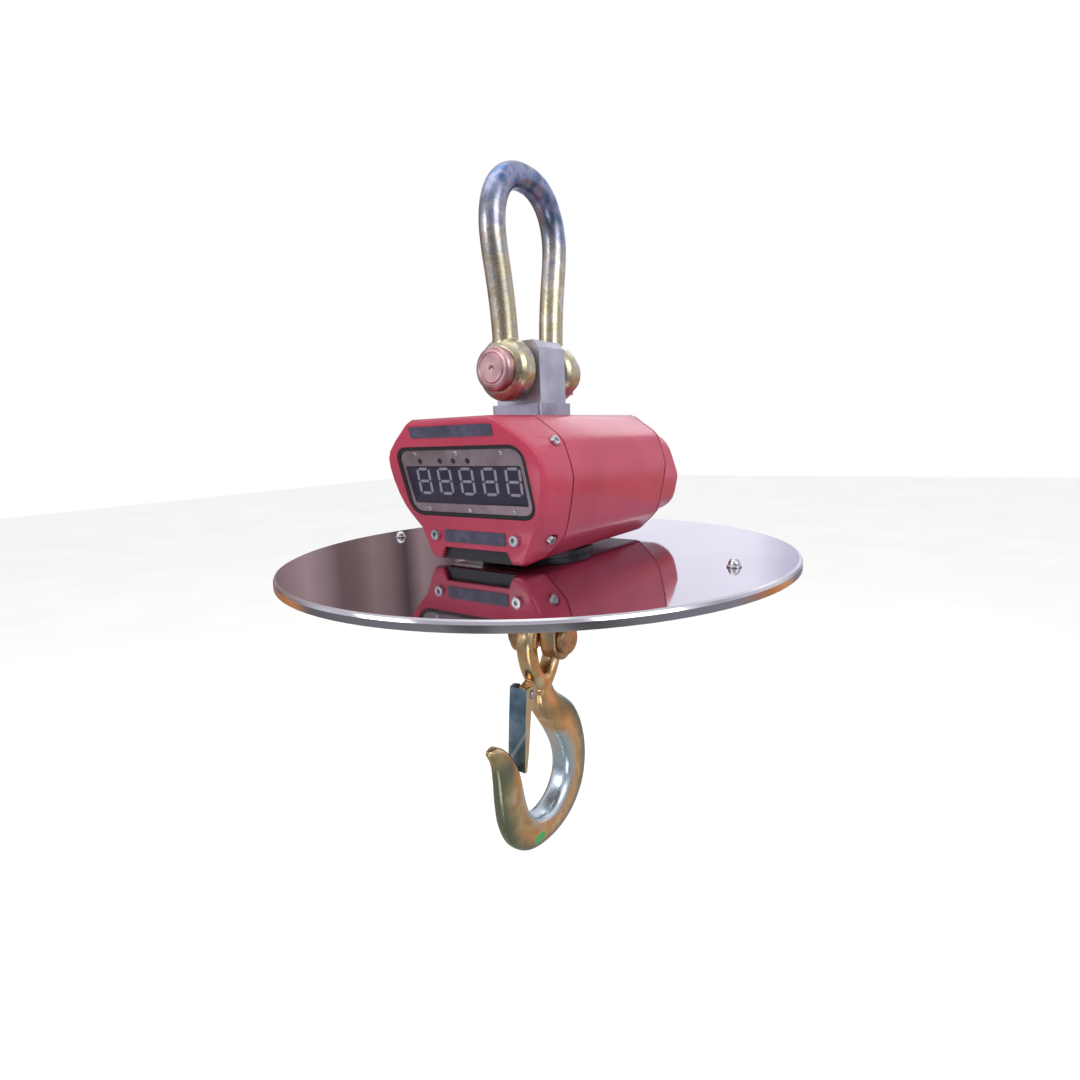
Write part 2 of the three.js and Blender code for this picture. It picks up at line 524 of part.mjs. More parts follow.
add('front_gasket', gasket(SHELL, SEAM_Y + 0.3, SEAM_Y + 1.7, 0.8), mats.black);
add('front_cover', frontCover(), mats.red);
add('rear_gasket', gasket(SHELL, REAR_Y + 0.3, REAR_Y + 1.5, 0.8), mats.black);
add('rear_plate', rearPlate(), mats.red);
add('battery_cover', batteryCover(), mats.red);
add('battery_pack', batteryPack(), mats.black);
add('charge_socket', chargeSocket(), mats.black);
add('window_seal', windowSeal(), mats.black);
add('bezel_panel', bezelPanel(), mats.bezel);
add('display_window', displayWindow(), mats.black);
add('display_board', displayBoard(), mats.board);
for (let i = 0; i < 5; i++) add(`digit_${i + 1}`, digit(i), mats.digit);
LEDS.forEach((x, i) => add(`indicator_${i + 1}`, led(x), mats.black));
add('top_label', topLabel(), mats.label);
add('chin_label', chinLabel(), mats.label);
add('chin_screw_left', chinScrew(-46), mats.steel);
add('chin_screw_right', chinScrew(46), mats.steel);
for (const [name, s] of Object.entries(SIDE_SCREWS)) add(name, sideScrew(s), mats.steel);
add('main_board', mainBoard(), mats.board);
add('heat_shield', heatShield(), mats.mirror);
add('shield_hub', shieldHub(), mats.steel);
add('shield_brace', shieldBrace(), mats.steel);
add('brace_bolt_right', braceBolt(BRACE_X), mats.steel);
add('brace_bolt_left', braceBolt(-BRACE_X), mats.steel);
HUB_SCREWS.forEach((p, i) => add(`hub_screw_${i + 1}`, hubScrew(p), mats.steel));
add('hook', hung(hook()), mats.zinc);
add('latch_pin', hung(latchPin()), mats.steel);
add('latch_spring', hung(latchSpring()), mats.steel);
add('latch', hung(latch()), mats.latch);

export default part;
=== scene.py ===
import math

import bmesh
import bpy
from mathutils import Matrix, Vector


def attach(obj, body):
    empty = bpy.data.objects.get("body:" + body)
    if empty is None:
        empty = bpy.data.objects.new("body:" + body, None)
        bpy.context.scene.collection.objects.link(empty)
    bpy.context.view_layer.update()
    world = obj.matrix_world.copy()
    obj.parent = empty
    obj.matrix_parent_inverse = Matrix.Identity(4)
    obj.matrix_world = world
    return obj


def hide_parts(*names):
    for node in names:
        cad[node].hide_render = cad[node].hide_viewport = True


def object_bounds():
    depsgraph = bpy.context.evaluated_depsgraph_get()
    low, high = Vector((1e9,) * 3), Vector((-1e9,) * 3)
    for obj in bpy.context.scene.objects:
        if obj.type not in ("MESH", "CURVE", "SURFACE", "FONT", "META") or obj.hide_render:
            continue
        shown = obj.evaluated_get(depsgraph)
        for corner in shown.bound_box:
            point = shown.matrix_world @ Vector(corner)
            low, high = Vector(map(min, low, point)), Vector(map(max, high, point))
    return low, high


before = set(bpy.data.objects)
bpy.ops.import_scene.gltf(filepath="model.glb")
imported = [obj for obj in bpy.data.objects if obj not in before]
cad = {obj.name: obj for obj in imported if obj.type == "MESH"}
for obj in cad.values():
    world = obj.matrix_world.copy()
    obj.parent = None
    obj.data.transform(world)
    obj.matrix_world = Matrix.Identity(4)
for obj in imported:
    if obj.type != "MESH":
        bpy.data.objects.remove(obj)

packed_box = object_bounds()

# ---- camera and studio ------------------------------------------------------
# The scale hangs in a plain pale studio. The camera looks slightly down on the
# heat shield from the front right. Soft boxes and pale walls light the metal.
SIDE, YAW, PITCH, ROLL = (math.radians(a) for a in (35.96, 0.26, 9.46, -2.23))
REACH, EYE_HEIGHT = 0.63903, -0.22159
LENS, FILM_WIDTH = 21.283, 36

forward = Vector((-math.sin(SIDE), math.cos(SIDE), 0))
right = Vector((math.cos(SIDE), math.sin(SIDE), 0))
up = Vector((0, 0, 1))
forward, right = (forward * math.cos(YAW) + right * math.sin(YAW),
                  right * math.cos(YAW) - forward * math.sin(YAW))
forward, up = (forward * math.cos(PITCH) - up * math.sin(PITCH),
               up * math.cos(PITCH) + forward * math.sin(PITCH))
right, up = (right * math.cos(ROLL) + up * math.sin(ROLL),
             up * math.cos(ROLL) - right * math.sin(ROLL))
lens = bpy.data.cameras.new("studio_camera")
lens.sensor_width = FILM_WIDTH
lens.lens = LENS
lens.clip_start = 0.01
camera = bpy.data.objects.new("studio_camera", lens)
stand = Matrix((right, up, -forward)).transposed().to_4x4()
stand.translation = (REACH * math.sin(SIDE), -REACH * math.cos(SIDE), EYE_HEIGHT)
camera.matrix_world = stand
scene = bpy.context.scene
scene.collection.objects.link(camera)
scene.camera = camera
scene.view_settings.view_transform = "Standard"


def linear(hex_colour):
    """Linear RGBA of an sRGB hex value."""
    parts = [int(hex_colour[i:i + 2], 16) / 255 for i in (1, 3, 5)]
    return (*[c / 12.92 if c <= 0.04045 else ((c + 0.055) / 1.055) ** 2.4 for c in parts], 1)


def add(tree, kind, inputs=None, stops=None, **settings):
    """Adds one node with its settings and its values or links; stops fill a colour ramp."""
    node = tree.nodes.new(kind)
    for name, value in settings.items():
        setattr(node, name, value)
    for socket, value in (inputs or {}).items():
        if isinstance(value, bpy.types.NodeSocket):
            tree.links.new(value, node.inputs[socket])
        else:
            node.inputs[socket].default_value = value
    if stops:
        ramp = node.color_ramp
        while len(ramp.elements) < len(stops):
            ramp.elements.new(1)
        for element, (place, colour) in zip(ramp.elements, stops):
            element.position, element.color = place, linear(colour)
    return node


# walls seen only as reflections: compass degrees from +Y towards -X, and a tone
WALLS = [(-180, "#A09EAA"), (-160, "#8C8A96"), (-146, "#85838F"), (-130, "#8A8894"),
         (-112, "#A09EAA"), (-100, "#C9D2E0"), (-84, "#F4F5FA"), (-70, "#A9ACBA"),
         (-52, "#D4D6E2"), (-30, "#E6E4EC"), (-12, "#9C98A8"), (2, "#F4F5FF"),
         (13, "#BDBDD6"), (17, "#F2F2FF"), (29, "#ECEAF6"), (36, "#B9A2A8"), (41, "#EDE8EC"),
         (43.5, "#4E3C3E"), (46, "#9A8488"), (48, "#3C3032"), (50, "#8F7A7C"), (53, "#5A484A"),
         (56, "#A38C90"), (60, "#6D5A5C"), (68, "#A08A8E"), (84, "#6A5C58"), (94, "#B08A74"),
         (104, "#8C8A96"), (122, "#DDE0EA"), (150, "#A09EAA")]
# the same below eye level, where a warm workbench glows at two places
BENCHES = [(-180, "#5C5A60"), (-168, "#232228"), (-122, "#232228"), (-105, "#6E6C74"),
           (-60, "#8A8890"), (-38, "#B87A4C"), (-22, "#DCA070"), (-10, "#7A7884"), (20, "#9C9AA8"),
           (60, "#77707A"), (86, "#B87A4C"), (98, "#C88A5C"), (110, "#6A686E"), (150, "#77757C")]
# a pale ceiling takes over high up, and a grey floor mixes in far below; each blend runs
# between two heights of the line of sight
CEILING, CEILING_BLEND = (0.8, 0.8, 0.84, 1), (0.3, 0.7)
BENCH_BLEND = (-0.02, -0.2)
FAR_FLOOR, FAR_FLOOR_BLEND, FAR_FLOOR_SHARE = (0.4, 0.4, 0.38, 1), (-0.27, -0.36), 0.6
REFLECTED_GAIN = 1.2
studio = bpy.data.worlds.new("studio")
scene.world = studio
studio.use_nodes = True
tree = studio.node_tree
tree.nodes.clear()
look = add(tree, "ShaderNodeTexCoord").outputs["Generated"]
look = add(tree, "ShaderNodeSeparateXYZ", {0: look})
west = add(tree, "ShaderNodeMath", {0: look.outputs[0], 1: -1}, operation="MULTIPLY")
compass = add(tree, "ShaderNodeMath", {0: west.outputs[0], 1: look.outputs[1]},
              operation="ARCTAN2")
compass = add(tree, "ShaderNodeMapRange", {0: compass.outputs[0], 1: -math.pi, 2: math.pi})
walls = add(tree, "ShaderNodeValToRGB", {0: compass.outputs[0]},
            stops=[((deg + 180) / 360, tone) for deg, tone in WALLS])
above = add(tree, "ShaderNodeMapRange", {0: look.outputs[2], 1: CEILING_BLEND[0],
                                         2: CEILING_BLEND[1]})
below = add(tree, "ShaderNodeMapRange", {0: look.outputs[2], 1: BENCH_BLEND[0],
                                         2: BENCH_BLEND[1]})
ceiling = add(tree, "ShaderNodeMix", {0: above.outputs[0], 6: walls.outputs[0], 7: CEILING},
              data_type="RGBA")
benches = add(tree, "ShaderNodeValToRGB", {0: compass.outputs[0]},
              stops=[((deg + 180) / 360, tone) for deg, tone in BENCHES])
ground = add(tree, "ShaderNodeMix", {0: below.outputs[0], 6: ceiling.outputs[2],
                                     7: benches.outputs[0]}, data_type="RGBA")
deep = add(tree, "ShaderNodeMapRange", {0: look.outputs[2], 1: FAR_FLOOR_BLEND[0],
                                        2: FAR_FLOOR_BLEND[1], 4: FAR_FLOOR_SHARE})
far_floor = add(tree, "ShaderNodeMix", {0: deep.outputs[0], 6: ground.outputs[2],
                                        7: FAR_FLOOR}, data_type="RGBA")
mirrored = add(tree, "ShaderNodeVectorMath", {0: far_floor.outputs[2], "Scale": REFLECTED_GAIN},
               operation="SCALE")
glossy = add(tree, "ShaderNodeLightPath").outputs["Is Glossy Ray"]
backdrop = add(tree, "ShaderNodeMix", {0: glossy, 6: (1, 1, 1, 1), 7: mirrored.outputs[0]},
               data_type="RGBA")
sky = add(tree, "ShaderNodeBackground", {0: backdrop.outputs[2], 1: 1.0})
add(tree, "ShaderNodeOutputWorld", {0: sky.outputs[0]})

SOFT_BOXES = {  # place, width, height, power
    "overhead_box": ((-0.3, -0.3, 1.5), 1.5, 1.5, 9),
    "right_box": ((1.7, -0.5, 0.6), 1.1, 1.1, 13),
    "front_box": ((-0.9, -1.9, 0.5), 0.8, 0.8, 8),
    "rear_strip": ((-0.34, 1.6, 0.62), 1.3, 0.3, 2),
    "low_box": ((0.5, -0.8, -0.88), 0.5, 0.5, 2),
}
AIM = Vector((0, 0, -0.3))         # every soft box looks at the middle of the scale
for name, (place, width, height, power) in SOFT_BOXES.items():
    lamp = bpy.data.lights.new(name, "AREA")
    lamp.shape, lamp.size, lamp.size_y, lamp.energy = "RECTANGLE", width, height, power
    box = bpy.data.objects.new(name, lamp)
    box.visible_camera = False
    turned = (AIM - Vector(place)).to_track_quat("-Z", "Y").to_matrix().to_4x4()
    box.matrix_world = Matrix.Translation(place) @ turned
    scene.collection.objects.link(box)


MM = 0.001


def new_finish(name, shine):
    """A material with its shader, and the place on the piece in millimetres."""
    finish = bpy.data.materials.new(name)
    finish.use_nodes = True
    tree = finish.node_tree
    tree.nodes.clear()
    shader = add(tree, "ShaderNodeBsdfPrincipled", shine)
    add(tree, "ShaderNodeOutputMaterial", {0: shader.outputs[0]})
    place = add(tree, "ShaderNodeTexCoord").outputs["Object"]
    in_mm = add(tree, "ShaderNodeVectorMath", {0: place, 1: (1 / MM, 1 / MM, 1 / MM)},
                operation="MULTIPLY")
    return finish, tree, shader, in_mm.outputs[0]


def wear(tree, shader, place, stops, patch, rough, grain, depth):
    """Colour drifting over patches, roughness and bump from a finer grain, all in mm."""
    drift = add(tree, "ShaderNodeTexNoise", {"Vector": place, "Scale": 1 / patch, "Detail": 4})
    tone = add(tree, "ShaderNodeValToRGB", {0: drift.outputs[0]}, stops=stops)
    tree.links.new(tone.outputs[0], shader.inputs["Base Color"])
    fine = add(tree, "ShaderNodeTexNoise", {"Vector": place, "Scale": 1 / grain, "Detail": 3})
    dull = add(tree, "ShaderNodeMapRange", {0: fine.outputs[0], 1: 0.3, 2: 0.7,
                                            3: rough[0], 4: rough[1]})
    tree.links.new(dull.outputs[0], shader.inputs["Roughness"])
    bump = add(tree, "ShaderNodeBump", {"Height": fine.outputs[0], "Distance": depth * MM})
    tree.links.new(bump.outputs[0], shader.inputs["Normal"])
    return tone, dull, bump


# The floor is a matt painted board well below the hook. No polished face mirrors it.
FLOOR_DROP, FLOOR_HALF = 0.3, 9
plaster, tree, shader, place = new_finish("matt_white_plaster", {})
wear(tree, shader, place, [(0.3, "#F4F4F3"), (0.7, "#F8F8F7")], 400, (0.8, 0.9), 3, 0.05)
ground_mesh = bpy.data.meshes.new("studio_floor")
low = packed_box[0][2] - FLOOR_DROP
ground_mesh.from_pydata([(x * FLOOR_HALF, y * FLOOR_HALF, low)
                         for x, y in ((-1, -1), (1, -1), (1, 1), (-1, 1))], [], [(0, 1, 2, 3)])
ground_mesh.materials.append(plaster)
floor = bpy.data.objects.new("studio_floor", ground_mesh)
scene.collection.objects.link(floor)
floor.visible_glossy = False

# ---- shackle bow ------------------------------------------------------------
# Drop forged 24 mm bar bent to a pear, with two turned eyes, plated with yellow
# zinc chromate. The film gives gold, green and violet patches by its thickness.
HANG = 339.5              # the crown's inside is the origin, this far over the shield top
BAR, EYE_OUT, EYE_BORE, EYE_AT, PIN_LEVEL = 12, 28.5, 13.4, 37, 177
BOW_SIDE = [(37, 196), (37.1, 207), (38.2, 224), (40.4, 243), (43.4, 262), (46.6, 280),
            (48.4, 296), (47.8, 310.5), (44.2, 324), (37.2, 336), (26.8, 345), (14, 350.2),
            (0, 351.5)]


def through(points, steps):
    """Points of a smooth curve through the given ones."""
    line = []
    for k in range(len(points) - 1):
        four = (points[min(max(k + j, 0), len(points) - 1)] for j in (-1, 0, 1, 2))
        columns = list(zip(*four))
        for t in (step / steps for step in range(steps)):
            line.append(tuple(
                0.5 * (2 * q + (r - p) * t + (2 * p - 5 * q + 4 * r - s) * t * t
                       + (3 * q - p - 3 * r + s) * t ** 3)
                for p, q, r, s in columns))
    return line + [points[-1]]


def skin(rings, closed=False):
    """Corners and faces of a tube through rings of points; a closed one joins its ends."""
    around, points = len(rings[0]), [p for ring in rings for p in ring]
    faces = []
    for k in range(len(rings) - (0 if closed else 1)):
        m = (k + 1) % len(rings)
        for i in range(around):
            j = (i + 1) % around
            faces.append((k * around + i, k * around + j, m * around + j, m * around + i))
    if not closed:
        faces.append(tuple(reversed(range(around))))
        faces.append(tuple(range(len(points) - around, len(points))))
    return points, faces


def turn(profile, sides, axis, at, closed=False):
    """A profile of (radius, along) turned round the Y or Z axis through a point."""
    rings = []
    for radius, along in profile:
        ring = []
        for i in range(sides):
            a = 2 * math.pi * i / sides
            c, s = radius * math.cos(a), radius * math.sin(a)
            corner = (s, along, c) if axis == "Y" else (c, s, along)
            ring.append(tuple(p + q for p, q in zip(corner, at)))
        rings.append(ring)
    return skin(rings, closed)


def solid(name, shells, place=Matrix.Identity(4)):
    """An object made of closed shells given in mm, faces outward."""
    mesh = bpy.data.meshes.new(name)
    points, faces = [], []
    for corners, sides in shells:
        faces += [tuple(i + len(points) for i in side) for side in sides]
        points += corners
    mesh.from_pydata([place @ (Vector(p) * MM) for p in points], [], faces)
    tidy = bmesh.new()
    tidy.from_mesh(mesh)
    bmesh.ops.remove_doubles(tidy, verts=tidy.verts, dist=1e-6)
    bmesh.ops.recalc_face_normals(tidy, faces=tidy.faces)
    tidy.to_mesh(mesh)
    tidy.free()
    piece = bpy.data.objects.new(name, mesh)
    scene.collection.objects.link(piece)
    return piece


def settle(piece, finish, body, *replaced):
    """Turns the modifiers' result into a plain mesh and rides it on its body."""
    bpy.context.view_layer.update()
    shape = piece.evaluated_get(bpy.context.evaluated_depsgraph_get())
    mesh = bpy.data.meshes.new_from_object(shape)
    piece.modifiers.clear()
    piece.data = mesh
    mesh.materials.clear()
    mesh.materials.append(finish)
    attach(piece, body)
    if replaced:
        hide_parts(*replaced)


def forge(piece, grain, passes):
    """Melts the shells of a piece into one forging with soft fillets."""
    melt = piece.modifiers.new("melt", "REMESH")
    melt.mode, melt.voxel_size, melt.use_smooth_shade = "VOXEL", grain * MM, True
    ease = piece.modifiers.new("ease", "SMOOTH")
    ease.factor, ease.iterations = 0.5, passes


VIOLET_FROM, VIOLET_FULL = -75, 0         # heights between which the film turns violet
FILM_PATCH = 14
zinc, tree, shader, place = new_finish("yellow_zinc_plated_forging", {"Metallic": 1})
tone, *_ = wear(tree, shader, place,
                [(0.3, "#8C93A2"), (0.42, "#BDB49C"), (0.5, "#B3A98A"), (0.58, "#CDC5B4"),
                 (0.7, "#A9A0A8")], 24, (0.24, 0.38), 1.4, 0.03)
height = add(tree, "ShaderNodeSeparateXYZ", {0: place})
crown = add(tree, "ShaderNodeMapRange", {0: height.outputs[2], 1: VIOLET_FROM,
                                         2: VIOLET_FULL})
film = add(tree, "ShaderNodeTexNoise", {"Vector": place, "Scale": 1 / FILM_PATCH, "Detail": 3})
violet = add(tree, "ShaderNodeValToRGB", {0: film.outputs[0]},
             stops=[(0.36, "#4E658C"), (0.48, "#7C86A6"), (0.58, "#9A98B4"), (0.68, "#5C7CAA")])
tinted = add(tree, "ShaderNodeMix", {0: crown.outputs[0], 6: tone.outputs[0],
                                     7: violet.outputs[0]}, data_type="RGBA")
tree.links.new(tinted.outputs[2], shader.inputs["Base Color"])

BAR_SIDES = 36
path = [(-y, z) for y, z in BOW_SIDE] + list(reversed(BOW_SIDE[:-1]))
path = through(path, steps=6)
rings = []
for k, (y, z) in enumerate(path):
    a, b = path[max(k - 1, 0)], path[min(k + 1, len(path) - 1)]
    run = Vector((b[0] - a[0], b[1] - a[1])).normalized()
    rings.append([(BAR * math.cos(t), y - run.y * BAR * math.sin(t),
                   z - HANG + run.x * BAR * math.sin(t))
                  for t in (2 * math.pi * i / BAR_SIDES for i in range(BAR_SIDES))])
shells = [skin(rings)]
EYE_HALF = 13
EYE = [(EYE_BORE, -EYE_HALF), (21, -EYE_HALF), (25.5, -EYE_HALF + 2.5), (EYE_OUT, -6),
       (EYE_OUT, 6), (25.5, EYE_HALF - 2.5), (21, EYE_HALF), (EYE_BORE, EYE_HALF)]
for side in (-1, 1):
    shells.append(turn(EYE, 72, "Y", (0, side * EYE_AT, PIN_LEVEL - HANG), closed=True))
bow = solid("forged_bow", shells)
forge(bow, grain=1.0, passes=7)
settle(bow, zinc, "shackle", "shackle_bow")

# ---- shackle pin, washer, nut and split pin ---------------------------------
# Turned steel, passivated to a pale copper pink. The head keeps the rings of the
# lathe tool, a groove and a bright centre. The nut is locked by a split pin.
LATHE_RINGS, LATHE_DEPTH = 5.5, 0.006     # radians of the ring pattern per mm, and mm
pink, tree, shader, place = new_finish("pink_passivated_turned_steel", {"Metallic": 1})
*_, bump = wear(tree, shader, place,
                [(0.3, "#A27E82"), (0.5, "#BE989A"), (0.7, "#CFB0B0")], 12,
                (0.3, 0.46), 0.8, 0.01)
part = add(tree, "ShaderNodeSeparateXYZ", {0: place})
down = add(tree, "ShaderNodeMath", {0: part.outputs[2], 1: HANG - PIN_LEVEL},
           operation="ADD")
flat = add(tree, "ShaderNodeCombineXYZ", {0: part.outputs[0], 2: down.outputs[0]})
radius = add(tree, "ShaderNodeVectorMath", {0: flat.outputs[0]}, operation="LENGTH")
cut_ring = add(tree, "ShaderNodeMath", {0: radius.outputs["Value"], 1: LATHE_RINGS},
               operation="MULTIPLY")
cut_ring = add(tree, "ShaderNodeMath", {0: cut_ring.outputs[0]}, operation="SINE")
lathe_mark = add(tree, "ShaderNodeBump", {"Height": cut_ring.outputs[0],
                                          "Distance": LATHE_DEPTH * MM})
tree.links.new(lathe_mark.outputs[0], bump.inputs["Normal"])

# radius and place along the pin, from the head's centre dimple to the far end
PIN = [(0, -58.4), (1.3, -58.7), (3, -59.9), (12.2, -60), (12.9, -59.5), (13.2, -59),
       (14.2, -59), (14.6, -59.5), (16.4, -59.3), (18.6, -58.5), (19.7, -57.2), (20, -55.8),
       (20, -51.6), (19.6, -50.6), (18.8, -50.3), (13, -50.3), (13, 53.4), (11, 54), (11, 68.2),
       (10, 69.4), (2.6, 69.4), (1.2, 68.4), (0, 68.1)]
pin = solid("turned_pin", [turn(PIN, 96, "Y", (0, 0, PIN_LEVEL - HANG))])
settle(pin, pink, "shackle", "shackle_pin")

# Machined parts keep sharp edges between smooth faces: one tree sets which is which.
edges_tree = bpy.data.node_groups.new("machined_edges", "GeometryNodeTree")
edges_tree.interface.new_socket("Geometry", in_out="INPUT", socket_type="NodeSocketGeometry")
sharp_socket = edges_tree.interface.new_socket("Sharp Above", in_out="INPUT",
                                               socket_type="NodeSocketFloat")
edges_tree.interface.new_socket("Geometry", in_out="OUTPUT", socket_type="NodeSocketGeometry")
inlet = add(edges_tree, "NodeGroupInput")
welded = add(edges_tree, "GeometryNodeMergeByDistance", {0: inlet.outputs[0], "Distance": 1e-5})
soft = add(edges_tree, "GeometryNodeSetShadeSmooth", {0: welded.outputs[0],
                                                      "Shade Smooth": True})
fold = add(edges_tree, "GeometryNodeInputMeshEdgeAngle")
sharp = add(edges_tree, "FunctionNodeCompare", {0: fold.outputs[0], 1: inlet.outputs[1]},
            operation="GREATER_THAN")
crisp = add(edges_tree, "GeometryNodeSetShadeSmooth", {
    0: soft.outputs[0], "Selection": sharp.outputs[0], "Shade Smooth": False}, domain="EDGE")
add(edges_tree, "NodeGroupOutput", {0: crisp.outputs[0]})


def dress(finish, *names, sharp=32):
    """Gives carried-over parts their finish, and smooth faces between sharp edges."""
    for name in names:
        part = cad[name]
        part.data.materials.clear()
        part.data.materials.append(finish)
        edges = part.modifiers.new("machined_edges", "NODES")
        edges.node_group = edges_tree
        edges[sharp_socket.identifier] = math.radians(sharp)
        flats = part.modifiers.new("flat_faces_stay_flat", "WEIGHTED_NORMAL")
        flats.keep_sharp = True


dress(pink, "shackle_washer", "shackle_nut")

bright, tree, shader, place = new_finish("bright_zinc_plated_steel", {"Metallic": 1})
wear(tree, shader, place, [(0.3, "#9FA3A9"), (0.5, "#BFC1C4"), (0.7, "#D5D4D0")], 4,
     (0.24, 0.4), 0.5, 0.01)
dress(bright, "shackle_cotter")

# ---- load cell, gauge cover and collar --------------------------------------
# A block of alloy steel, milled up and down and left grey, which the strain gauges
# read. A satin aluminium collar closes the housing round it.
MILL_STROKES, MILL_DEPTH = (2.2, 2.2, 0.05), 0.03     # strokes per mm in x, y and z, and mm
milled, tree, shader, place = new_finish("milled_alloy_steel", {"Metallic": 0.85})
*_, bump = wear(tree, shader, place, [(0.3, "#9A9CAC"), (0.5, "#B2B3C2"), (0.7, "#C4C3CE")],
                30, (0.34, 0.5), 0.9, 0.015)
strokes = add(tree, "ShaderNodeMapping", {0: place, "Scale": MILL_STROKES})
strokes = add(tree, "ShaderNodeTexNoise", {"Vector": strokes.outputs[0], "Scale": 1, "Detail": 2})
milling = add(tree, "ShaderNodeBump", {"Height": strokes.outputs[0],
                                       "Distance": MILL_DEPTH * MM})
tree.links.new(milling.outputs[0], bump.inputs["Normal"])
soft_edge = add(tree, "ShaderNodeBevel", {"Radius": 0.8 * MM}, samples=4)
tree.links.new(soft_edge.outputs[0], milling.inputs["Normal"])
dress(milled, "load_cell", "gauge_cover")

satin, tree, shader, place = new_finish("satin_anodised_aluminium", {"Metallic": 1})
*_, bump = wear(tree, shader, place, [(0.3, "#9694A6"), (0.5, "#A8A6B8"), (0.7, "#B8B6C6")],
                18, (0.36, 0.48), 0.5, 0.01)
soft_edge = add(tree, "ShaderNodeBevel", {"Radius": 0.7 * MM}, samples=4)
tree.links.new(soft_edge.outputs[0], bump.inputs["Normal"])
dress(satin, "top_collar")

# ---- housing ----------------------------------------------------------------
# Two aluminium castings and a rear plate, baked with glossy red paint that keeps a
# slight orange peel. Rubber gaskets show as a thin dark line at each joint.
red, tree, shader, place = new_finish("red_baked_paint",
                                      {"Coat Weight": 0.35, "Coat Roughness": 0.12})
*_, bump = wear(tree, shader, place, [(0.3, "#9C2340"), (0.5, "#A82A47"), (0.7, "#B13350")],
                70, (0.32, 0.42), 2.2, 0.02)
soft_edge = add(tree, "ShaderNodeBevel", {"Radius": 1.6 * MM}, samples=6)
tree.links.new(soft_edge.outputs[0], bump.inputs["Normal"])
dress(red, "centre_shell", "front_cover", "rear_plate", "battery_cover", sharp=38)

rubber, tree, shader, place = new_finish("moulded_black_rubber", {})
wear(tree, shader, place, [(0.3, "#141517"), (0.7, "#202225")], 20, (0.55, 0.7), 0.6, 0.03)
dress(rubber, "front_gasket", "rear_gasket", "window_seal")

# Screws of the housing: bright pan heads at the chin, low heads at the corners.
dress(bright, "chin_screw_left", "chin_screw_right", "side_screw_upper_right",
      "side_screw_upper_left", "side_screw_lower_right", "side_screw_lower_left")

# ---- labels -----------------------------------------------------------------
# Printed film, left blank here, slate blue with a fine pebbled laminate.
label, tree, shader, place = new_finish("pebbled_label_film", {"Specular IOR Level": 0.4})
wear(tree, shader, place, [(0.3, "#393748"), (0.5, "#434155"), (0.7, "#4F4D62")], 9,
     (0.38, 0.5), 0.4, 0.012)
dress(label, "top_label", "chin_label")

# ---- shade sheet in the chin notch ------------------------------------------
# A dark sheet stands behind the notch of the chin as painted shade for the deep notch, and closes
# the casting.
black, tree, shader, place = new_finish("black_moulded_plastic", {})
wear(tree, shader, place, [(0.3, "#16161C"), (0.7, "#1F1F27")], 12, (0.4, 0.55), 0.5, 0.01)
NOTCH_SHADE_OUTLINE = [(-42.2, 6.3), (42.2, 6.3), (38.4, 14), (37.6, 19.5), (-37.6, 19.5), (-38.4, 14)]
NOTCH_SHADE_FACES = (-90.6, -88.4)
# painted shade: a dark sheet where the notch holds only shadow
notch_shade = solid("chin_shutter", [skin([[(x, y, z - HANG) for x, z in NOTCH_SHADE_OUTLINE]
                                       for y in NOTCH_SHADE_FACES])])
settle(notch_shade, black, "housing")

# ---- display ----------------------------------------------------------------
# Five one inch digits on a board behind smoked acrylic, in a brushed bezel panel.
# The unlit segments are pale diffusers on a dark face, with a faint painted glow.
BRUSH_STROKES, BRUSH_DEPTH = (0.04, 3, 3), 0.02       # strokes per mm in x, y and z, and mm
bezel, tree, shader, place = new_finish("brushed_bezel_sheet", {"Metallic": 0.8})
*_, bump = wear(tree, shader, place, [(0.3, "#8A7A81"), (0.5, "#9A8A91"), (0.7, "#AC9DA4")],
                25, (0.4, 0.55), 0.5, 0.006)
strokes = add(tree, "ShaderNodeMapping", {0: place, "Scale": BRUSH_STROKES})
strokes = add(tree, "ShaderNodeTexNoise", {"Vector": strokes.outputs[0], "Scale": 1, "Detail": 2})
brushing = add(tree, "ShaderNodeBump", {"Height": strokes.outputs[0],
                                        "Distance": BRUSH_DEPTH * MM})
tree.links.new(brushing.outputs[0], bump.inputs["Normal"])
dress(bezel, "bezel_panel")

dress(black, "digit_1", "digit_2", "digit_3", "digit_4", "digit_5", "indicator_1", "indicator_2",
      "indicator_3", "indicator_4", "battery_pack", "charge_socket")

laminate, tree, shader, place = new_finish("green_glass_laminate", {"Coat Weight": 0.3})
wear(tree, shader, place, [(0.3, "#123524"), (0.7, "#1D4A33")], 3, (0.35, 0.5), 0.4, 0.01)
dress(laminate, "display_board", "main_board")

acrylic, tree, shader, place = new_finish("smoked_acrylic", {"Alpha": 0.42, "Coat Weight": 0.3})
wear(tree, shader, place, [(0.3, "#332D42"), (0.7, "#3C354C")], 30, (0.05, 0.12), 2, 0.002)
dress(acrylic, "display_window")

# The face of the display leans back: x stays, v runs up it, w points out of it.
LEAN, FACE_LEVEL, FACE_FRONT = 0.285, 78.5, -107.1125
slope = math.hypot(1, LEAN)
on_face = Matrix(((1, 0, 0, 0),
                  (0, -LEAN / slope, -1 / slope, FACE_FRONT * MM),
                  (0, 1 / slope, -LEAN / slope, (FACE_LEVEL - HANG) * MM),
                  (0, 0, 0, 1)))

# Segments: hexagonal bars on the seven places of each digit, repeated along the row.
DIGIT_WIDE, DIGIT_TALL, DIGIT_SLANT = 16.4, 25.4, 0.1
DIGITS, DIGIT_PITCH, DIGIT_MID, DIGIT_LEVEL = 5, 25.6, 2.5, -0.3
STROKE, SEGMENT_GAP, SEGMENT_BACK, SEGMENT_THICK = 2.3, 0.5, -4.3, 0.5


def plate(outline, low, high):
    """Corners and faces of an outline in x and v made thick in w."""
    return skin([[(x, v, low) for x, v in outline], [(x, v, high) for x, v in outline]])


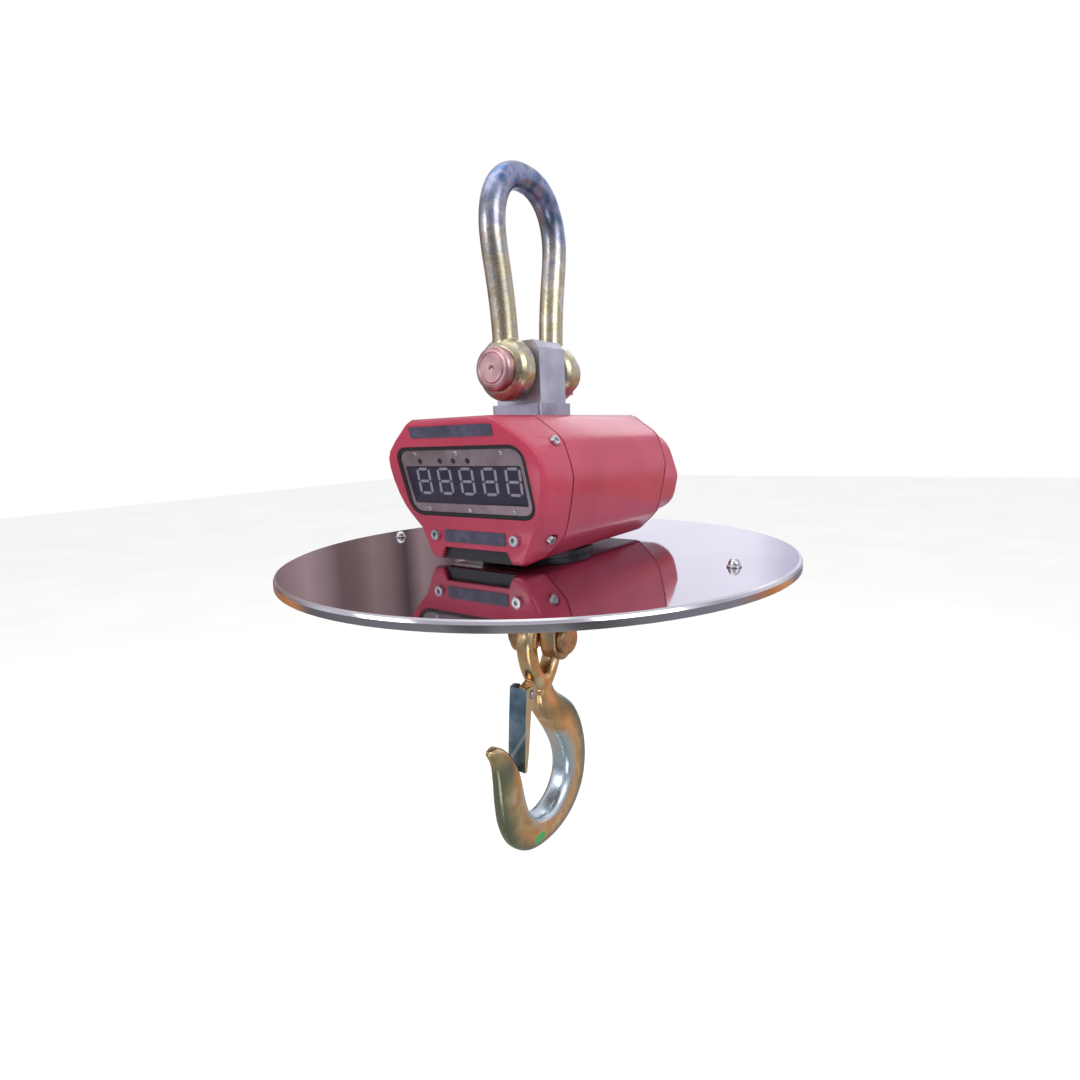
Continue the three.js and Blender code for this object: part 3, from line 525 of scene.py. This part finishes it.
half = (DIGIT_TALL - STROKE) / 4 - SEGMENT_GAP
bar_outline = [(-half, 0), (-half + STROKE / 2, -STROKE / 2), (half - STROKE / 2, -STROKE / 2),
               (half, 0), (half - STROKE / 2, STROKE / 2), (-half + STROKE / 2, STROKE / 2)]
segment = solid("segment_bar", [plate(bar_outline, 0, SEGMENT_THICK)])
wide, tall = (DIGIT_WIDE - STROKE) / 2, (DIGIT_TALL - STROKE) / 2
# place of each segment's middle in the digit, and whether it stands upright
PLACES = [(0, tall, 0), (0, 0, 0), (0, -tall, 0), (-wide, tall / 2, 1), (-wide, -tall / 2, 1),
          (wide, tall / 2, 1), (wide, -tall / 2, 1)]
spots = bpy.data.meshes.new("digit_segments")
spots.from_pydata([(x * MM, v * MM, 0) for x, v, _ in PLACES], [], [])
spots.attributes.new("upright", "FLOAT", "POINT").data.foreach_set(
    "value", [float(u) for _, _, u in PLACES])
digits = bpy.data.objects.new("digit_segments", spots)
scene.collection.objects.link(digits)

# painted glow: the unlit segments emit a faint pale light of their own
glowing_diffuser, tree, shader, place = new_finish(
    "pale_segment_diffuser_painted_glow", {"Emission Color": linear("#DAD4EA"), "Emission Strength": 0.5})
wear(tree, shader, place, [(0.3, "#D6CFE2"), (0.7, "#E9E4F2")], 3, (0.35, 0.5), 0.3, 0.01)

row_tree = bpy.data.node_groups.new("digit_row", "GeometryNodeTree")
row_tree.interface.new_socket("Geometry", in_out="INPUT", socket_type="NodeSocketGeometry")
row_inputs = {name: row_tree.interface.new_socket(name, in_out="INPUT",
                                                  socket_type=kind).identifier
              for name, kind in (("Segment", "NodeSocketObject"), ("Digits", "NodeSocketInt"),
                                 ("Pitch", "NodeSocketFloat"), ("Slant", "NodeSocketFloat"),
                                 ("Finish", "NodeSocketMaterial"))}
row_tree.interface.new_socket("Geometry", in_out="OUTPUT", socket_type="NodeSocketGeometry")
inlet = add(row_tree, "NodeGroupInput")
upright = add(row_tree, "GeometryNodeInputNamedAttribute", {"Name": "upright"},
              data_type="FLOAT")
quarter = add(row_tree, "ShaderNodeMath", {0: upright.outputs[0], 1: math.pi / 2},
              operation="MULTIPLY")
turned = add(row_tree, "ShaderNodeCombineXYZ", {2: quarter.outputs[0]})
bar = add(row_tree, "GeometryNodeObjectInfo", {"Object": inlet.outputs["Segment"]})
eight = add(row_tree, "GeometryNodeInstanceOnPoints", {
    "Points": inlet.outputs[0], "Instance": bar.outputs["Geometry"], "Rotation": turned.outputs[0]})
step = add(row_tree, "ShaderNodeCombineXYZ", {0: inlet.outputs["Pitch"]})
row = add(row_tree, "GeometryNodeMeshLine", {"Count": inlet.outputs["Digits"],
                                             "Offset": step.outputs[0]})
digit_row = add(row_tree, "GeometryNodeInstanceOnPoints", {
    "Points": row.outputs[0], "Instance": eight.outputs[0]})
real = add(row_tree, "GeometryNodeRealizeInstances", {0: digit_row.outputs[0]})
at = add(row_tree, "GeometryNodeInputPosition")
at = add(row_tree, "ShaderNodeSeparateXYZ", {0: at.outputs[0]})
lean = add(row_tree, "ShaderNodeMath", {0: at.outputs[1], 1: inlet.outputs["Slant"]},
           operation="MULTIPLY")
shift = add(row_tree, "ShaderNodeCombineXYZ", {0: lean.outputs[0]})
slanted = add(row_tree, "GeometryNodeSetPosition", {0: real.outputs[0],
                                                    "Offset": shift.outputs[0]})
inked = add(row_tree, "GeometryNodeSetMaterial", {0: slanted.outputs[0],
                                                  "Material": inlet.outputs["Finish"]})
add(row_tree, "NodeGroupOutput", {0: inked.outputs[0]})
maker = digits.modifiers.new("digit_row", "NODES")
maker.node_group = row_tree
for name, value in (("Segment", segment), ("Digits", DIGITS), ("Pitch", DIGIT_PITCH * MM),
                    ("Slant", DIGIT_SLANT), ("Finish", glowing_diffuser)):
    maker[row_inputs[name]] = value
settle(digits, glowing_diffuser, "housing")
bpy.data.objects.remove(segment)
first_digit = Vector((DIGIT_MID - (DIGITS - 1) / 2 * DIGIT_PITCH, DIGIT_LEVEL, SEGMENT_BACK))
digits.data.transform(on_face @ Matrix.Translation(first_digit * MM))

# ---- panel, rear and cover screws -------------------------------------------
# Pan head machine screws with a cross recess, each turned to its own angle. Six hold
# the bezel, six the rear plate and two the battery cover.
SCREW_HEAD = [(0, 0), (1, 0), (1, 0.1), (0.96, 0.3), (0.82, 0.48), (0.5, 0.6), (0, 0.63)]
head = solid("screw_head", [turn(SCREW_HEAD, 24, "Z", (0, 0, 0))])
ARM, SLOT, RECESS_FLOOR, RECESS_TOP = 0.56, 0.11, 0.3, 1.2
cross = [(SLOT, SLOT), (SLOT, ARM), (-SLOT, ARM), (-SLOT, SLOT), (-ARM, SLOT), (-ARM, -SLOT),
         (-SLOT, -SLOT), (-SLOT, -ARM), (SLOT, -ARM), (SLOT, -SLOT), (ARM, -SLOT), (ARM, SLOT)]
driver = solid("screw_recess", [plate(cross, RECESS_FLOOR, RECESS_TOP)])
recess = head.modifiers.new("recess", "BOOLEAN")
recess.operation, recess.object, recess.solver = "DIFFERENCE", driver, "EXACT"

screw_tree = bpy.data.node_groups.new("screws_on_a_face", "GeometryNodeTree")
screw_tree.interface.new_socket("Geometry", in_out="INPUT", socket_type="NodeSocketGeometry")
screw_inputs = {name: screw_tree.interface.new_socket(name, in_out="INPUT",
                                                      socket_type=kind).identifier
                for name, kind in (("Screw", "NodeSocketObject"),
                                   ("Head Radius", "NodeSocketFloat"),
                                   ("Seed", "NodeSocketInt"), ("Finish", "NodeSocketMaterial"))}
screw_tree.interface.new_socket("Geometry", in_out="OUTPUT", socket_type="NodeSocketGeometry")
inlet = add(screw_tree, "NodeGroupInput")
shape = add(screw_tree, "GeometryNodeObjectInfo", {"Object": inlet.outputs["Screw"]})
angle = add(screw_tree, "FunctionNodeRandomValue",
            {2: 0.0, 3: math.tau, "Seed": inlet.outputs["Seed"]}, data_type="FLOAT")
turned = add(screw_tree, "ShaderNodeCombineXYZ", {2: angle.outputs[1]})
placed = add(screw_tree, "GeometryNodeInstanceOnPoints", {
    "Points": inlet.outputs[0], "Instance": shape.outputs["Geometry"],
    "Rotation": turned.outputs[0], "Scale": inlet.outputs["Head Radius"]})
real = add(screw_tree, "GeometryNodeRealizeInstances", {0: placed.outputs[0]})
inked = add(screw_tree, "GeometryNodeSetMaterial", {0: real.outputs[0],
                                                    "Material": inlet.outputs["Finish"]})
add(screw_tree, "NodeGroupOutput", {0: inked.outputs[0]})


def facing_back(behind):
    """A face that looks along +Y: x turns over, v is height over the shield."""
    return Matrix(((-1, 0, 0, 0), (0, 0, 1, behind * MM), (0, 1, 0, -HANG * MM), (0, 0, 0, 1)))


BEZEL_SUNK = -1.6         # the bezel lies this far under the front of the cover
SCREWS = {  # head radius, seed, face, places in x and v
    "bezel_screws": (2.1, 3, on_face @ Matrix.Translation((0, 0, BEZEL_SUNK * MM)),
                     [(-49, 26), (0, 26), (49, 26), (-49, -26.5), (0, -26.5), (49, -26.5)]),
    "rear_plate_screws": (3.4, 5, facing_back(122.5),
                          [(79, 74), (-79, 74), (36, 122), (-36, 122), (34, 15.4), (-34, 15.4)]),
    "battery_cover_screws": (3.6, 8, facing_back(190), [(52, 66), (-52, 66)]),
}
for name, (radius, seed, face, places) in SCREWS.items():
    spots = bpy.data.meshes.new(name)
    spots.from_pydata([(x * MM, v * MM, 0) for x, v in places], [], [])
    screws = bpy.data.objects.new(name, spots)
    scene.collection.objects.link(screws)
    maker = screws.modifiers.new("screws_on_a_face", "NODES")
    maker.node_group = screw_tree
    for socket, value in (("Screw", head), ("Head Radius", float(radius)), ("Seed", seed),
                          ("Finish", bright)):
        maker[screw_inputs[socket]] = value
    settle(screws, bright, "housing")
    screws.data.transform(face)
bpy.data.objects.remove(head)
bpy.data.objects.remove(driver)

# ---- heat shield, hub and brace ---------------------------------------------
# A 500 mm disc of thin stainless steel, polished to a mirror with a turned-down rim.
# It keeps the heat of a ladle off the scale. A hub ring and a brace bar stiffen it.
WAVE_LENGTH, WAVE_DEPTH = 130, 0.12       # the sheet is never quite flat
RIM_FROM, RIM_FULL, RIM_ROUGH = 246, 247.5, 0.14
mirror, tree, shader, place = new_finish("mirror_polished_stainless", {"Metallic": 1})
tone, dull, bump = wear(tree, shader, place,
                        [(0.3, "#C6C2C8"), (0.5, "#CCC9CF"), (0.7, "#D2D0D5")],
                        120, (0.03, 0.07), 3, 0.0005)
wave = add(tree, "ShaderNodeTexNoise", {"Vector": place, "Scale": 1 / WAVE_LENGTH, "Detail": 1})
rolled = add(tree, "ShaderNodeBump", {"Height": wave.outputs[0], "Distance": WAVE_DEPTH * MM})
tree.links.new(rolled.outputs[0], bump.inputs["Normal"])
level = add(tree, "ShaderNodeVectorMath", {0: place, 1: (1, 1, 0)}, operation="MULTIPLY")
radius = add(tree, "ShaderNodeVectorMath", {0: level.outputs[0]}, operation="LENGTH")
at_rim = add(tree, "ShaderNodeMapRange", {0: radius.outputs["Value"], 1: RIM_FROM,
                                          2: RIM_FULL})
brushed = add(tree, "ShaderNodeMix", {0: at_rim.outputs[0], 2: dull.outputs[0], 3: RIM_ROUGH})
tree.links.new(brushed.outputs[0], shader.inputs["Roughness"])
dress(mirror, "heat_shield", sharp=12)
dress(bright, "brace_bolt_right", "brace_bolt_left")

# The hub ring is black as painted shade; the brace bar and hub screws are blackened with hot oxide.
oxide_and_shade, tree, shader, place = new_finish("black_oxide_steel_and_painted_shade", {"Metallic": 0.7})
wear(tree, shader, place, [(0.3, "#1C1B20"), (0.5, "#28272C"), (0.7, "#37353A")], 9,
     (0.35, 0.5), 0.6, 0.012)
# painted shade: the black hub ring stands for the dark gap between housing and shield
dress(oxide_and_shade, "shield_hub", "shield_brace", "hub_screw_1", "hub_screw_2", "hub_screw_3",
      "hub_screw_4")

# ---- lower clevis, pin and clip ---------------------------------------------
# Machined steel, plated with a thick yellow chromate that has gone bronze.
bronze, tree, shader, place = new_finish("bronze_chromated_steel", {"Metallic": 1})
*_, bump = wear(tree, shader, place,
                [(0.3, "#A5876C"), (0.48, "#C8A582"), (0.6, "#AFAA8E"), (0.72, "#D2C0A0")],
                11, (0.28, 0.44), 1, 0.02)
soft_edge = add(tree, "ShaderNodeBevel", {"Radius": 0.8 * MM}, samples=4)
tree.links.new(soft_edge.outputs[0], bump.inputs["Normal"])
dress(bronze, "lower_clevis", "lower_pin", "lower_clip")

# ---- hook -------------------------------------------------------------------
# One forging: an eye on the lower pin, a shank, and a bowl of trapezoid section that
# thins to the tip. It hangs slightly turned, so that its weight is under the pin.
HANG_TILT, LOWER_PIN = math.radians(-2.63), -88
hung = (Matrix.Translation(Vector((0, 0, LOWER_PIN - HANG)) * MM)
        @ Matrix.Rotation(HANG_TILT, 4, "X")
        @ Matrix.Translation(Vector((0, 0, -LOWER_PIN)) * MM))
# inner edge y and z, outer edge y and z, half thickness, from the shank to the tip
HOOK = [(-10, -128, 10, -129, 8.5), (-12.5, -140, 14, -142, 10),
        (-14.5, -151, 21, -154, 11.5), (-12, -163, 38, -166, 12.5),
        (-4, -176, 53, -178, 13.5), (7, -190, 64, -192, 14),
        (18, -205, 72.5, -209, 14.5), (27, -221, 78.5, -231, 14.5),
        (32, -238, 79, -254, 14.5), (30.5, -254, 72, -279, 14.5),
        (21.5, -268.5, 54, -300, 14.5), (7, -278, 28, -312.5, 14.5),
        (-9, -280.5, -3, -316.2, 14.5), (-24, -275.5, -33, -311, 14.5),
        (-35, -264, -57, -294, 14), (-41.5, -249, -71, -269, 13.5),
        (-45, -233, -76.5, -243, 12.5), (-49, -217, -78.5, -221, 11.5),
        (-55.5, -203, -81, -203, 10), (-63, -192, -85.5, -192, 8.5),
        (-71.5, -184, -90, -185.5, 6.5), (-79, -180, -90, -181, 3.5)]


def rounded(powers, count):
    """Places across and along a round-cornered box, which lower powers make squarer."""
    for i in range(count):
        a = math.tau * i / count
        c, s = math.cos(a), math.sin(a)
        yield math.copysign(abs(c) ** powers[0], c), math.copysign(abs(s) ** powers[1], s)


BACK_TAPER, BOWL_SECTION = 0.3, (0.72, 0.62)      # thicker inside than at its back
rings = []
for iy, iz, oy, oz, thick in through(HOOK, steps=6):
    rings.append([(thick * s * (1 + BACK_TAPER * c) / (1 + BACK_TAPER * 0.5),
                   (iy + oy) / 2 + (iy - oy) / 2 * c, (iz + oz) / 2 + (iz - oz) / 2 * c)
                  for c, s in rounded(BOWL_SECTION, 36)])
shells = [skin(rings)]


def egg(radius, top, low, tip, middle, count):
    """Outline of the eye in y and z: round above, drawn in to a narrower foot."""
    for i in range(count):
        a = math.tau * i / count
        foot = max(-math.sin(a), 0)
        yield (middle + radius * math.cos(a) * (1 - (1 - tip) * foot * foot),
               top + (radius * math.sin(a) if math.sin(a) > 0 else -low * foot))


EYE_THICK, EYE_SECTION = 10, (0.8, 0.7)
rings = []
EYE_OUTLINE = egg(radius=32, top=-92, low=58, tip=0.72, middle=-2, count=56)
EYE_OPENING = egg(radius=16, top=-90.9, low=36, tip=0.86, middle=0, count=56)
for (oy, oz), (iy, iz) in zip(EYE_OUTLINE, EYE_OPENING):
    rings.append([(EYE_THICK * s, (iy + oy) / 2 + (oy - iy) / 2 * c,
                   (iz + oz) / 2 + (oz - iz) / 2 * c)
                  for c, s in rounded(EYE_SECTION, 28)])
shells.append(skin(rings, closed=True))
# the lug carries the latch pin
LUG = [(-8, -127), (-24, -131), (-34, -135), (-37.5, -141), (-34.5, -147.5), (-10, -166),
       (0, -150)]
LUG_HALF = 4.2
shells.append(skin([[(x, y, z) for y, z in LUG] for x in (-LUG_HALF, LUG_HALF)]))
hook = solid("forged_hook", shells, hung)
forge(hook, grain=1.0, passes=4)

# The chromate is gold on the flats; the silver inside the bowl is a painted highlight, and the
# darker green-grey outside, except at the neck and the tip, is painted shade. A dab of green paint
# marks the inspected forging.
BOWL = (-10, -579)                        # y and z of the bowl's middle
SILVER_HIGHLIGHT_WITHIN, SILVER_HIGHLIGHT_ENDS = 43, 52       # distances from it
GREEN_SHADE_FROM, GREEN_SHADE_FULL = 59, 71
MOTTLE, MOTTLE_PATCH = 9, 22              # the borders wander this far, over such patches
NECK_SLOPE, NECK_ENDS, GREEN_SHADE_BELOW = -0.3, -496, -518
DAB, DAB_RADIUS, DAB_EDGE = (13, -32, -637), 7.5, 0.6
RAGGED, RAGGED_PATCH = 5, 5               # the outline of the dab
gold_and_painted_light, tree, shader, place = new_finish("gold_chromated_forging_painted_light", {})
tone, *_ = wear(tree, shader, place,
                [(0.3, "#BFA678"), (0.44, "#E6CB9A"), (0.56, "#DCB07C"), (0.7, "#EFDDB8")],
                30, (0.22, 0.36), 1.3, 0.01)
part = add(tree, "ShaderNodeSeparateXYZ", {0: place})
across = add(tree, "ShaderNodeMath", {0: part.outputs[1], 1: -BOWL[0]}, operation="ADD")
upward = add(tree, "ShaderNodeMath", {0: part.outputs[2], 1: -BOWL[1]}, operation="ADD")
flat = add(tree, "ShaderNodeCombineXYZ", {0: across.outputs[0], 1: upward.outputs[0]})
reach = add(tree, "ShaderNodeVectorMath", {0: flat.outputs[0]}, operation="LENGTH")
mottle = add(tree, "ShaderNodeTexNoise", {"Vector": place, "Scale": 1 / MOTTLE_PATCH,
                                            "Detail": 2})
mottle = add(tree, "ShaderNodeMapRange", {0: mottle.outputs[0], 3: -MOTTLE, 4: MOTTLE})
reach = add(tree, "ShaderNodeMath", {0: reach.outputs["Value"], 1: mottle.outputs[0]},
            operation="ADD")
# painted highlight: silver towards the inside of the bowl
inside = add(tree, "ShaderNodeMapRange", {0: reach.outputs[0], 1: SILVER_HIGHLIGHT_ENDS,
                                          2: SILVER_HIGHLIGHT_WITHIN})
# painted shade: darker green-grey towards the back of the bowl, kept off the neck and the tip
outside = add(tree, "ShaderNodeMapRange", {0: reach.outputs[0], 1: GREEN_SHADE_FROM, 2: GREEN_SHADE_FULL})
slope_level = add(tree, "ShaderNodeMath", {0: part.outputs[1], 1: NECK_SLOPE},
                  operation="MULTIPLY")
slope_level = add(tree, "ShaderNodeMath", {0: slope_level.outputs[0], 1: part.outputs[2]},
                  operation="ADD")
under_neck = add(tree, "ShaderNodeMapRange", {0: slope_level.outputs[0], 1: NECK_ENDS,
                                              2: GREEN_SHADE_BELOW})
outside = add(tree, "ShaderNodeMath", {0: outside.outputs[0], 1: under_neck.outputs[0]},
              operation="MULTIPLY")
silver_highlight_mix = add(tree, "ShaderNodeMix", {0: inside.outputs[0], 6: tone.outputs[0],
                                       7: linear("#CEDCE4")}, data_type="RGBA")
green_shade_mix = add(tree, "ShaderNodeMix", {0: outside.outputs[0], 6: silver_highlight_mix.outputs[2],
                                      7: linear("#8E937C")}, data_type="RGBA")
away = add(tree, "ShaderNodeVectorMath", {0: place, 1: DAB}, operation="DISTANCE")
ragged = add(tree, "ShaderNodeTexNoise", {"Vector": place, "Scale": 1 / RAGGED_PATCH,
                                            "Detail": 2})
ragged = add(tree, "ShaderNodeMapRange", {0: ragged.outputs[0], 3: -RAGGED, 4: RAGGED})
away = add(tree, "ShaderNodeMath", {0: away.outputs["Value"], 1: ragged.outputs[0]},
           operation="ADD")
painted = add(tree, "ShaderNodeMapRange", {0: away.outputs[0], 1: DAB_RADIUS + DAB_EDGE,
                                           2: DAB_RADIUS - DAB_EDGE})
dabbed = add(tree, "ShaderNodeMix", {0: painted.outputs[0], 6: green_shade_mix.outputs[2],
                                     7: linear("#1B8A4C")}, data_type="RGBA")
bare = add(tree, "ShaderNodeMath", {0: 1.0, 1: painted.outputs[0]}, operation="SUBTRACT")
tree.links.new(dabbed.outputs[2], shader.inputs["Base Color"])
tree.links.new(bare.outputs[0], shader.inputs["Metallic"])
settle(hook, gold_and_painted_light, "hook", "hook")

# ---- safety latch -----------------------------------------------------------
# Pressed blue-grey steel channel on a riveted pin, shut by a wound wire spring. Its
# flanges keep a cream tint, and a long scratch crosses the front.
FLANGE_FROM, FLANGE_FULL = 10.1, 10.6     # half widths of the channel's outside
SCRATCH_SLOPE, SCRATCH_LEVEL, SCRATCH_EDGE, SCRATCH_CORE = -1.6, 533.0, 4.5, 0.8
sheet, tree, shader, place = new_finish("pressed_blued_sheet", {"Metallic": 0.9})
tone, *_ = wear(tree, shader, place, [(0.3, "#566E80"), (0.5, "#708A9C"), (0.7, "#92A8B4")],
                14, (0.3, 0.46), 0.7, 0.015)
part = add(tree, "ShaderNodeSeparateXYZ", {0: place})
edge = add(tree, "ShaderNodeMath", {0: part.outputs[0]}, operation="ABSOLUTE")
edge = add(tree, "ShaderNodeMapRange", {0: edge.outputs[0], 1: FLANGE_FROM, 2: FLANGE_FULL})
cream = add(tree, "ShaderNodeMix", {0: edge.outputs[0], 6: tone.outputs[0],
                                    7: linear("#CDC2A2")}, data_type="RGBA")
run = add(tree, "ShaderNodeMath", {0: part.outputs[0], 1: SCRATCH_SLOPE},
          operation="MULTIPLY")
run = add(tree, "ShaderNodeMath", {0: part.outputs[2], 1: run.outputs[0]}, operation="ADD")
run = add(tree, "ShaderNodeMath", {0: run.outputs[0], 1: SCRATCH_LEVEL}, operation="ADD")
run = add(tree, "ShaderNodeMath", {0: run.outputs[0]}, operation="ABSOLUTE")
scratch = add(tree, "ShaderNodeMapRange", {0: run.outputs[0], 1: SCRATCH_EDGE,
                                           2: SCRATCH_CORE, 3: 0, 4: 0.7})
scraped = add(tree, "ShaderNodeMix", {0: scratch.outputs[0], 6: cream.outputs[2],
                                      7: linear("#C9D3DA")}, data_type="RGBA")
tree.links.new(scraped.outputs[2], shader.inputs["Base Color"])
dress(sheet, "latch")
dress(bright, "latch_pin", "latch_spring")
